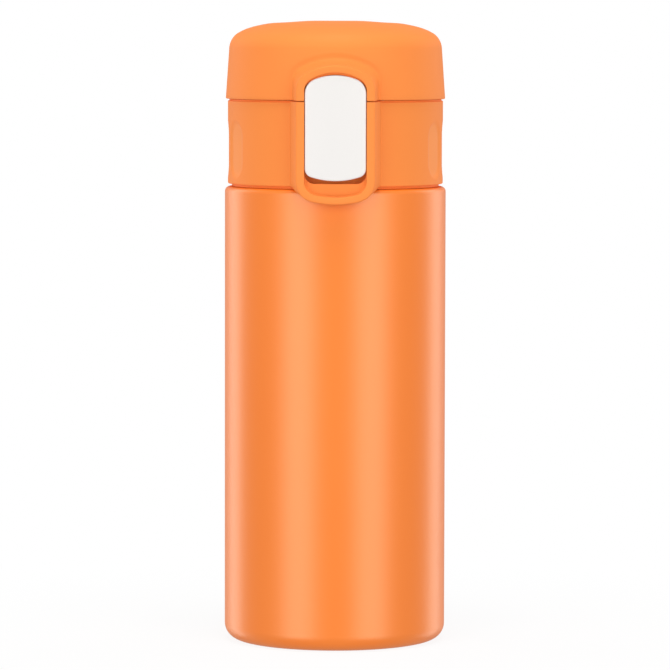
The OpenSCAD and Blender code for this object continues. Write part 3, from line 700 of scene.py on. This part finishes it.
def capShell():
    c, k = cap, knuckle
    bm = capOutside()
    rollIn(bm, c["footEdge"])
    addMesh(bm, capInside())
    bmesh.ops.triangle_fill(bm, use_beauty=True, use_dissolve=False, normal=(0, 0, -1),
                            edges=[e for e in bm.edges if e.is_boundary])
    mergeDoubles(bm)
    faceOut(bm)
    y, z, r = hingePlace.y, hingePlace.z, k["radius"]
    outY, inY = k["webY"]
    foot = c["foot"] + k["webFoot"]
    web = arcPoints((y, z), r - k["inset"], 180, 372, 24)
    web += [Vector(p) for p in ((outY, k["webTop"]), (inY, k["webTop"]), (inY, foot), (y - r, foot))]
    for side in (-1, 1):
        inX, outX = sorted((side * k["inX"], side * k["outX"]))
        bm = combined(bm, prism(web, inX, outX), "UNION")
        inX, outX = sorted((side * (k["outX"] + k["gap"]), side * k["gapEnd"]))
        bm = combined(bm, rod(r + k["room"], inX, outX, y, z), "DIFFERENCE")
    bm = combined(bm, rod(k["holeR"], -k["outX"] - 1, k["outX"] + 1, y, z), "DIFFERENCE")
    finishPiece("flip_cap", bm, lidPlastic, "cap", "cap_shell")


capShell()
print("cap made")


# collar: tube with dimples, bezel block with the pocket and its scoop, hinge ears

collar = dict(foot=136.75, top=161.5, outR=32.1, inR=30.3, edge=0.35, ledge=0.8, ledgeR=28.15,
              lipT=0.8, topLip=(31.65, 161.9), footLip=(30.9, 135.98),
              flatHalf=10, flatFoot=0.9, flatY=-31.3, flatShare=0.05)
dimple = dict(wide=9.5, tall=16.8, depth=0.6, z=147.1, pitch=22.5, count=3, start=0.3, run=1.5,
              rows=20, span=0.56)


def dimpleDepth(turn, z):
    # how far the wall is drawn in at a place round the collar
    d = dimple
    deepest = 0
    for side in (-90, 90):
        for i in range(d["count"]):
            middle = math.radians(side + (i - (d["count"] - 1) / 2) * d["pitch"])
            across = (turn - middle) * collar["outR"]
            up = max(0, abs(z - d["z"]) - (d["tall"] - d["wide"]) / 2)
            inside = d["wide"] / 2 - math.hypot(across, up)
            deepest = max(deepest, smooth((inside + d["start"]) / d["run"]))
    return deepest * d["depth"]


def collarTube():
    # a ring with a narrower lip at the top and at the foot, its outside in rows for the dimples
    k, d = collar, dimple
    foot, top, outR, lipT = k["foot"], k["top"], k["outR"], k["lipT"]
    r, z = k["topLip"]
    corners = [(k["inR"], foot + k["ledge"], 0.15), (k["inR"], top, 0.2), (r - lipT, top, 0),
               (r - lipT, z, 0), (r, z, 0.1), (r, top, 0), (outR, top, k["edge"])]
    for i in range(d["rows"], -d["rows"] - 1, -1):
        corners.append((outR, d["z"] + d["tall"] * d["span"] * i / d["rows"], 0))
    r, z = k["footLip"]
    corners += [(outR, foot, k["edge"]), (r, foot, 0), (r, z, 0.1), (r - lipT, z, 0), (r - lipT, foot, 0),
                (k["ledgeR"], foot, 0.15), (k["ledgeR"], foot + k["ledge"], 0.15)]
    bm = spun(roundedPath(corners), steps=360)

    # the dimples are pressed in, and the wall behind the bezel is drawn back out of the pocket
    for v in bm.verts:
        reach = v.co.xy.length
        if reach > outR - 0.01:
            v.co.xy *= (reach - dimpleDepth(math.atan2(v.co.x, -v.co.y), v.co.z)) / reach
        if abs(v.co.x) < k["flatHalf"] and v.co.z > foot + k["flatFoot"] and v.co.y < k["flatY"]:
            v.co.y = k["flatY"] + (v.co.y - k["flatY"]) * k["flatShare"]
    return bm


bezel = dict(spring=138.4, rise=6.65, corner=6.0, legZs=(161.6, 155, 149, 144, 140.5, 139.4), rearR=31.2,
             flare=1.8975, flareFoot=133.5, flareRun=3, flareAcross=6, hangR=33.85, hangFoot=120,
             hangGap=0.02, scoopRise=4.55, scoopCorner=4.0, scoopY=-34.3, scoopRound=1.0, scoopFoot=136.9,
             pocketY=-31.6, pocketFoot=137.75, pocketRound=3.1, shelf=4)


def blockRow(part, inset=0.0, rear=False):
    # a row round the bezel: part runs from 0 at the pocket's outline to 1 at the rim's outside
    k, f = bezel, front
    inner = archHalf(f["pocket"], k["scoopRise"], k["scoopCorner"], k["spring"], -1, k["legZs"])
    outHalf = f["pocket"] + f["rim"] * f["sideways"]
    outer = archHalf(outHalf, k["rise"], k["corner"], k["spring"], -1, k["legZs"])
    places = []
    for a, b in zip(inner, outer):
        p = a.lerp(b, part)
        y = faceAt(p.x) + inset
        if rear:
            up = smooth((p.y - k["flareFoot"]) / k["flareRun"])
            p.x += k["flare"] * up * min(1, p.x / k["flareAcross"])
            y = frontOf(k["rearR"], p.x)
        places.append(Vector((p.x, y, p.y)))
    return bothHalves(places)


def bezelBlock():
    k, f = bezel, front
    bm = bmesh.new()
    verts = chain(bm, [Vector((0, -k["rearR"], p.z)) for p in blockRow(1)])
    rear = blockRow(1, rear=True)
    for share in (0.5, 1):
        places = [Vector((p.x * share, frontOf(k["rearR"], p.x * share), p.z)) for p in rear]
        verts = extrudeChain(bm, verts, places)
    for across, down in quarterRound(quarter[::-1]):
        verts = extrudeChain(bm, verts, blockRow(1 - f["edge"] * across / f["rim"], f["edge"] * down))
    for across, down in quarterRound(quarter):
        verts = extrudeChain(bm, verts, blockRow(f["inEdge"] * across / f["rim"], f["inEdge"] * down))

    # the scoop's wall rounds into its floor, and the pocket's side walls go straight back
    first, last = k["shelf"], len(verts) - 1 - k["shelf"]
    starts = [v.co.copy() for v in verts]
    topZ = starts[first].z
    deepest = bothHalves(archHalf(f["pocket"] - k["scoopRound"], k["scoopRise"] - k["scoopRound"],
                                  k["scoopCorner"] - k["scoopRound"], k["spring"], -1, k["legZs"]))
    for across, down in quarterRound((18, 36, 54, 72, 90)):
        places = []
        for p, inner in zip(starts, deepest):
            share = min(1, max(0, (topZ - p.z) / (topZ - k["scoopFoot"]))) ** 2 * down
            y = p.y + (k["scoopY"] - p.y) * (1 - across)
            places.append(Vector((p.x + (inner.x - p.x) * share, y, p.z + (inner.y - p.z) * share)))
        verts = extrudeChain(bm, verts, places)
    scoop = verts[first:last + 1]
    right = extrudeChain(bm, verts[:first + 1], atDepth(verts[:first + 1], k["pocketY"]))
    left = extrudeChain(bm, verts[last:], atDepth(verts[last:], k["pocketY"]))

    # the floor rises to the pocket's foot, which is rounded at its corners
    places = []
    for v in scoop:
        over = min(k["pocketRound"], max(0, abs(v.co.x) - (f["pocket"] - k["pocketRound"])))
        lipZ = k["pocketFoot"] + k["pocketRound"] - math.sqrt(k["pocketRound"] ** 2 - over ** 2)
        places.append(Vector((v.co.x, v.co.y, max(v.co.z, lipZ))))
    places[0], places[-1] = scoop[0].co.copy(), scoop[-1].co.copy()
    scoop = extrudeChain(bm, scoop, places)
    foot = extrudeChain(bm, scoop, atDepth(scoop, k["pocketY"]))
    mergeDoubles(bm)
    cover(bm, [v for v in right + foot + left if v.is_valid])
    cover(bm, openRim(bm))
    faceOut(bm)
    return bm


ear = dict(inX=7.3, outX=11.3, drop=13.0, faceY=31.5, rootY=29.6, rootTop=0.3, holeR=1.02, holeHalf=12,
           clearY=12, clearZ=10)


def hingeEar(inX, outX):
    e = ear
    y, z, foot = hingePlace.y, hingePlace.z, hingePlace.z - e["drop"]
    path = arcPoints((y, z), knuckle["radius"] - knuckle["inset"], 90, -24, 15)
    path += [Vector(p) for p in ((e["faceY"], foot), (e["rootY"], foot), (e["rootY"], z + e["rootTop"]))]
    return prism(path, inX, outX)


def collarPiece():
    k, e = bezel, ear
    y, z, r = hingePlace.y, hingePlace.z, knuckle["radius"] + knuckle["room"]
    hangTop = collar["foot"] + k["hangGap"]
    middle = Matrix.Translation((0, 0, (k["hangFoot"] + hangTop) / 2))
    drum = cylinder(k["hangR"], hangTop - k["hangFoot"], middle, sides=240)
    added = combined(bezelBlock(), drum, "DIFFERENCE")
    addMesh(added, hingeEar(e["inX"], e["outX"]))
    addMesh(added, hingeEar(-e["outX"], -e["inX"]))
    bm = combined(collarTube(), added, "UNION")
    room = brick((-e["inX"], y - r, z), (e["inX"], y + e["clearY"], z + e["clearZ"]))
    cutter = combined(rod(r, -e["inX"], e["inX"], y, z), room, "UNION")
    cutter = combined(cutter, rod(e["holeR"], -e["holeHalf"], e["holeHalf"], y, z), "UNION")
    bm = combined(bm, cutter, "DIFFERENCE")
    piece = finishPiece("lid_collar", bm, lidPlastic, "lid_base", "collar")

    # how deep in a dimple each place of the outer wall is, for the painted highlight that stands in for the
    # dimples' grazing reflection
    recess = piece.data.attributes.new("recess", "FLOAT", "POINT")
    for v, value in zip(piece.data.vertices, recess.data):
        place = v.co / mm
        if place.xy.length > collar["outR"] - dimple["depth"] - 0.1:
            value.value = dimpleDepth(math.atan2(place.x, -place.y), place.z) / dimple["depth"]


collarPiece()
print("collar made")


# button: plate between the rim's walls, lugs on its pin, hook for the catch, post for its spring

button = dict(half=8.95, foot=138.65, top=169.4, topRise=5.4, topCorner=4.6, footRise=3.6, footCorner=2.6,
              waist=154.0, legRows=4, faceInset=0.3, edge=0.35, backY=-34.4, backEdge=0.2,
              lugR=1.75, lugIn=5.5, lugOut=8.9, lugSink=0.3,
              hookZ=165.0, hookT=1.6, hookY=-31.9, hookHalf=3.5, hookSink=0.5, hookEdge=0.2,
              postR=1.74, postH=0.9, postSink=0.5, springZ=146.1)


def buttonRow(inset, back=0.0, share=1.0, flatY=None):
    # a closed row round the plate, drawn in by inset; behind its face by back, or flat at a depth
    b = button
    arches = []
    for spring, rise, corner, up in ((b["top"] - b["topRise"], b["topRise"], b["topCorner"], 1),
                                     (b["foot"] + b["footRise"], b["footRise"], b["footCorner"], -1)):
        leg = evenly(b["waist"], spring, b["legRows"])
        half = archHalf(b["half"] - inset, rise - inset, corner - inset, spring, up, leg)
        arches.append(bothHalves(half))
    places = []
    for p in arches[0] + arches[1][-2:0:-1]:
        x = p.x * share
        y = faceAt(x, b["faceInset"]) + back if flatY is None else flatY
        places.append(Vector((x, y, p.y)))
    return places


def buttonPiece():
    b = button
    bm = bmesh.new()
    verts = chain(bm, buttonRow(b["backEdge"], share=0, flatY=b["backY"]), closed=True)
    verts = extrudeChain(bm, verts, buttonRow(b["backEdge"], flatY=b["backY"]), closed=True)
    verts = extrudeChain(bm, verts, buttonRow(0, flatY=b["backY"] - b["backEdge"]), closed=True)
    for across, down in quarterRound((90, 67, 45, 22, 0)):
        verts = extrudeChain(bm, verts, buttonRow(b["edge"] * across, b["edge"] * down), closed=True)
    for share in (0.8, 0.6, 0.4, 0.2, 0):
        verts = extrudeChain(bm, verts, buttonRow(b["edge"], share=share), closed=True)
    mergeDoubles(bm)
    faceOut(bm)
    y, z = buttonPlace.y, buttonPlace.z
    for inX, outX in ((b["lugIn"], b["lugOut"]), (-b["lugOut"], -b["lugIn"])):
        root = brick((inX, b["backY"] - b["lugSink"], z - b["lugR"]), (outX, y, z + b["lugR"]))
        lug = combined(rod(b["lugR"], inX, outX, y, z), root, "UNION")
        bm = combined(bm, lug, "UNION")
    hook = brick((-b["hookHalf"], b["backY"] - b["hookSink"], b["hookZ"]),
                 (b["hookHalf"], b["hookY"], b["hookZ"] + b["hookT"]), b["hookEdge"])
    bm = combined(bm, hook, "UNION")
    middle = Vector((0, b["backY"] + (b["postH"] - b["postSink"]) / 2, b["springZ"]))
    place = Matrix.Translation(middle) @ Matrix.Rotation(math.pi / 2, 4, "X")
    post = cylinder(b["postR"], b["postH"] + b["postSink"], place, sides=32)
    bm = combined(bm, post, "UNION")
    finishPiece("release_button", bm, buttonPlastic, "button", "button")


buttonPiece()
print("button made")


# stopper, spout and seals

stopper = dict(holeR=11.5, deckT=2, skirtIn=27.55, skirtOut=29.85, plugIn=19.2, plugOut=22.5,
               plugZ=141.0, grooveR=21.0, grooveZ=142, grooveTop=145)


def stopperPiece():
    t = thread
    holeR, deckT, skirtIn, skirtOut, plugIn, plugOut, plugZ, grooveR, grooveZ, grooveTop = stopper.values()
    low, high = nodeBox("stopper")
    deckZ = high.z - deckT
    path = roundedPath([
        (holeR, high.z, 0.3), (high.x, high.z, 0.3), (high.x, deckZ, 0.2), (skirtOut, deckZ, 0.2),
        (skirtOut, low.z, 0.4), (skirtIn, low.z, 0.4), (skirtIn, deckZ, 0.5), (plugOut, deckZ, 0.5),
        (plugOut, grooveTop, 0.2), (grooveR, grooveTop, 0.2), (grooveR, grooveZ, 0.2),
        (plugOut, grooveZ, 0.2), (plugOut, plugZ, 0.4), (plugIn, plugZ, 0.4), (plugIn, deckZ, 0.8),
        (holeR, deckZ, 0.3)])
    bm = spun(path)
    section = ridgeSection(t["nutRootR"], t["nutR"], t["foot"], t["rootW"], t["crestW"])
    addMesh(bm, helix(section, t["nutTurns"], t["lead"], t["runout"]))
    finishPiece("screw_stopper", bm, innerPlastic, "lid_base", "stopper")


spout = dict(boreR=10.8, lipR=12.6, neckR=15.66, flangeIn=14.2, flangeR=18, flangeT=1.5, band=3)


def spoutPiece():
    boreR, lipR, neckR, flangeIn, flangeR, flangeT, band = spout.values()
    low, high = nodeBox("spout")
    flangeZ, bandZ = low.z + flangeT, high.z - band
    path = roundedPath([
        (flangeIn, low.z, 0.2), (flangeR, low.z, 0.2), (flangeR, flangeZ, 0.4), (neckR, flangeZ, 0.8),
        (lipR, bandZ, 6), (lipR, high.z, 0.85), (boreR, high.z, 0.85), (boreR, bandZ, 4)])
    finishPiece("drinking_spout", spun(path), innerPlastic, "lid_base", "spout")


# half of the ring's section with two lips: radius, and share of its height
lipSection = ((21.08, 0), (22.2, 0), (22.4, 0.12), (23.3, 0.2), (23.4, 0.24), (23.4, 0.3), (23.2, 0.34),
              (22.3, 0.5))


def lipSeal():
    low, high = nodeBox("mouth_seal")
    height = high.z - low.z
    path = [(r, low.z + height * up) for r, up in lipSection]
    path += [(r, low.z + height * (1 - up)) for r, up in lipSection[-2::-1]]
    finishPiece("mouth_seal_ring", spun(path), silicone, "seal", "mouth_seal")


lining = dict(holeR=5.02, roofT=1.2, skirtOut=28.8, skirtIn=27.6, frontY=-29.1)


def innerCover():
    holeR, roofT, skirtOut, skirtIn, frontY = lining.values()
    low, high = nodeBox("cap_inner_cover")
    roof = high.z - roofT
    path = roundedPath([
        (holeR, high.z, 0.2), (high.x, high.z, 0.4), (high.x, roof, 0.2), (skirtOut, roof, 0.3),
        (skirtOut, low.z, 0.3), (skirtIn, low.z, 0.3), (skirtIn, roof, 1.2), (holeR, roof, 0.2)])
    bm = spun(path)
    for v in bm.verts:
        v.co.y = max(v.co.y, frontY)
    mergeDoubles(bm)
    finishPiece("cap_lining", bm, innerPlastic, "cap", "cap_inner_cover")


plugSeal = dict(noseR=9.45, seatR=10.65, padR=12.6, stemR=5, headR=6.5, noseH=2.4, padH=5.25, headT=1)


def spoutSeal():
    noseR, seatR, padR, stemR, headR, noseH, padH, headT = plugSeal.values()
    low, high = nodeBox("cap_seal")
    noseZ, padZ, headZ = low.z + noseH, low.z + padH, high.z - headT
    path = roundedPath([
        (0, low.z, 0), (noseR, low.z, 0.4), (seatR, noseZ, 0.15), (padR, noseZ, 0.3), (padR, padZ, 0.4),
        (stemR, padZ, 0), (stemR, headZ, 0), (headR, headZ, 0.2), (headR, high.z, 0.3), (0, high.z, 0)],
        closed=False)
    finishPiece("spout_seal", spun(path, closed=False), silicone, "cap", "cap_seal")


gasket = dict(inR=12.5, outR=17, edge=0.25)


def gasketRing():
    inR, outR, edge = gasket.values()
    low, high = nodeBox("spout_gasket")
    path = roundedPath([(inR, low.z, edge), (outR, low.z, edge), (outR, high.z, edge), (inR, high.z, edge)])
    finishPiece("spout_gasket_ring", spun(path), silicone, "lid_base", "spout_gasket")


stopperPiece()
spoutPiece()
lipSeal()
innerCover()
spoutSeal()
gasketRing()
print("stopper, spout and seals made")


# springs of round wire, pins and the catch

def wirePiece(name, path, radius, body, node, sides=12):
    rings = []
    normal = Vector((0.3, 0.5, 0.81))
    for k, point in enumerate(path):
        along = (path[min(k + 1, len(path) - 1)] - path[max(k - 1, 0)]).normalized()
        normal = (normal - along * normal.dot(along)).normalized()
        across = along.cross(normal)
        turns = [math.tau * i / sides for i in range(sides)]
        rings.append([point + (normal * math.cos(a) + across * math.sin(a)) * radius for a in turns])
    return finishPiece(name, tube(rings), springSteel, body, node)


def coilPoints(turns, steps):
    # share of the way and angle of each point on a coil
    return [(k / (turns * steps), math.tau * k / steps) for k in range(turns * steps + 1)]


torsionCoil = dict(coilR=1.7, wireR=0.35, reach=2.5, leg=1.9, turns=5, steps=24)


def hingeSpring():
    # a coil round the hinge pin with a straight leg at each end
    coilR, wireR, reach, leg, turns, steps = torsionCoil.values()
    y, z = hingePlace.y, hingePlace.z
    path = [Vector((-reach, y - coilR, z - leg)), Vector((-reach, y - coilR, z - leg / 2))]
    for share, a in coilPoints(turns, steps):
        x = reach * (2 * share - 1)
        path.append(Vector((x, y - coilR * math.cos(a), z + coilR * math.sin(a))))
    path += [Vector((reach, y - coilR, z + leg / 2)), Vector((reach, y - coilR, z + leg))]
    wirePiece("hinge_torsion_spring", path, wireR, "lid_base", "hinge_spring")


pressCoil = dict(coilR=2.18, wireR=0.22, turns=3, steps=28)


def pressSpring():
    # a coil along Y from the collar to the back of the button
    coilR, wireR, turns, steps = pressCoil.values()
    low, high = nodeBox("button_spring")
    z, back, frontY = button["springZ"], high.y - wireR, low.y + wireR
    path = []
    for share, a in coilPoints(turns, steps):
        y = frontY + (back - frontY) * share
        path.append(Vector((coilR * math.cos(a), y, z + coilR * math.sin(a))))
    spring = wirePiece("button_return_spring", path, wireR, None, "button_spring")
    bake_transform(spring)


pinR = dict(hinge=1.0, button=0.8)


def pins():
    for name, radius in pinR.items():
        bm = softRod(radius, *nodeBox(name + "_pin"))
        finishPiece(name + "_axle", bm, polishedSteel, "lid_base", name + "_pin")


catch = dict(thick=0.6, edge=0.12, ledgeIn=0.5, ledgeZ=(163.8, 164.8), ledgeEdge=0.15, overlap=0.3)


def catchPiece():
    # pressed plate with a ledge for the button's hook
    thick, edge, ledgeIn, ledgeZ, ledgeEdge, overlap = catch.values()
    low, high = nodeBox("catch_plate")
    y, x = high.y - thick, high.x - ledgeIn
    bm = brick((-high.x, y, low.z), high, edge)
    ledge = brick((-x, low.y, ledgeZ[0]), (x, y + overlap, ledgeZ[1]), ledgeEdge)
    bm = combined(bm, ledge, "UNION")
    finishPiece("catch_strike", bm, polishedSteel, "cap", "catch_plate")


hingeSpring()
pressSpring()
pins()
catchPiece()

# hidden parts keep their own shape and take a material
hiddenParts = dict(outer_bottom=polishedSteel, seal_bead=getterMetal, copper_foil=copper,
                   getter=getterMetal, getter_clip=springSteel)
for node, material in hiddenParts.items():
    for place in frame["nodes"][node].material_slots:
        place.material = material
print("springs, pins and hidden parts made")


# camera, light and floor

def aimAt(thing, target):
    turn = (Vector(target) - thing.location).to_track_quat("-Z", "Y")
    thing.rotation_euler = turn.to_euler()


camera = dict(distance=1.32, height=0.185, look=0.09125, field=0.2008, roll=0.12, sensor=36)


def placeCamera():
    c = camera
    data = bpy.data.cameras.new("camera")
    view = linked("camera", data)
    view.location = (0, -c["distance"], c["height"])
    aimAt(view, (0, 0, c["look"]))
    view.rotation_euler.rotate_axis("Z", math.radians(c["roll"]))
    away = math.hypot(c["distance"], c["height"] - c["look"])
    data.sensor_width = c["sensor"]
    data.lens = c["sensor"] * away / c["field"]
    data.clip_start = 0.05
    data.clip_end = 20
    bpy.context.scene.camera = view


lamps = dict(
    leftFront=dict(turn=-38, away=1.2, width=0.7, tall=1.5, power=6.5),
    rightFront=dict(turn=38, away=1.2, width=0.7, tall=1.5, power=6.3),
    leftRim=dict(turn=-127, away=1.0, width=0.42, tall=1.3, power=3.3),
    rightRim=dict(turn=127, away=1.0, width=0.42, tall=1.3, power=3.0),
    topLight=dict(turn=0, away=0.25, width=0.3, tall=0.3, power=4.7, height=1.1, target=0.15))


def softbox(name, turn, away, width, tall, power, height=0.12, target=0.1):
    # a rectangular lamp at a turn from the front, in degrees, aimed at a height on the bottle's axis
    data = bpy.data.lights.new(name, "AREA")
    data.shape = "RECTANGLE"
    data.size = width
    data.size_y = tall
    data.energy = power
    lamp = linked(name, data)
    a = math.radians(turn)
    lamp.location = (away * math.sin(a), -away * math.cos(a), height)
    aimAt(lamp, (0, 0, target))


def studioWorld(level):
    # a plain grey light that the camera sees as white
    world = bpy.data.worlds.new("studio")
    world.use_nodes = True
    tree = world.node_tree
    shade = tree.nodes["Background"]
    shade.inputs["Color"].default_value = (1, 1, 1, 1)
    path = addNode(tree, "ShaderNodeLightPath")
    strength = addNode(tree, "ShaderNodeMix", {"A": level, "B": 1.0}, data_type="FLOAT")
    join(tree, (path, "Is Camera Ray", strength, "Factor"), (strength, "Result", shade, "Strength"))
    bpy.context.scene.world = world


# pale, and white to the camera away from the bottle: the white's share grows with the distance
ground = dict(size=6, shade=0.9, roughness=0.9, gloss=0.1, nearR=0.05, farR=0.2, nearWhite=0.9)


def floorPiece():
    g = ground
    bm = bmesh.new()
    bmesh.ops.create_grid(bm, x_segments=1, y_segments=1, size=g["size"])
    floor = linked("floor", asMesh(bm, "floor"))
    material, tree, shader = newMaterial("paleFloor")
    setInputs(shader, {"Base Color": (g["shade"], g["shade"], g["shade"], 1),
                       "Roughness": g["roughness"], "Specular IOR Level": g["gloss"]})
    glow = addNode(tree, "ShaderNodeEmission", {"Strength": 1.0})
    place = addNode(tree, "ShaderNodeTexCoord")
    away = addNode(tree, "ShaderNodeVectorMath", operation="LENGTH")
    ends = {"From Min": g["nearR"], "From Max": g["farR"], "To Min": g["nearWhite"], "To Max": 1.0}
    fade = addNode(tree, "ShaderNodeMapRange", ends, interpolation_type="SMOOTHSTEP")
    path = addNode(tree, "ShaderNodeLightPath")
    share = addNode(tree, "ShaderNodeMath", operation="MULTIPLY")
    blend = addNode(tree, "ShaderNodeMixShader")
    join(tree, (place, "Object", away, 0), (away, "Value", fade, "Value"),
         (path, "Is Camera Ray", share, 0), (fade, "Result", share, 1), (share, 0, blend, "Fac"),
         (shader, "BSDF", blend, 1), (glow, "Emission", blend, 2))

    # clear when seen from below
    facing = addNode(tree, "ShaderNodeNewGeometry")
    clear = addNode(tree, "ShaderNodeBsdfTransparent")
    sides = addNode(tree, "ShaderNodeMixShader")
    join(tree, (facing, "Backfacing", sides, "Fac"), (blend, "Shader", sides, 1),
         (clear, "BSDF", sides, 2), (sides, "Shader", tree.nodes["Material Output"], "Surface"))
    floor.data.materials.append(material)
    floor.visible_shadow = False
    floor.visible_diffuse = False
    floor.visible_glossy = False


placeCamera()
studioWorld(level=0.47)
floorPiece()
for name, lamp in lamps.items():
    softbox(name, **lamp)
bpy.context.scene.view_settings.view_transform = "Standard"
print("camera, light and floor placed")
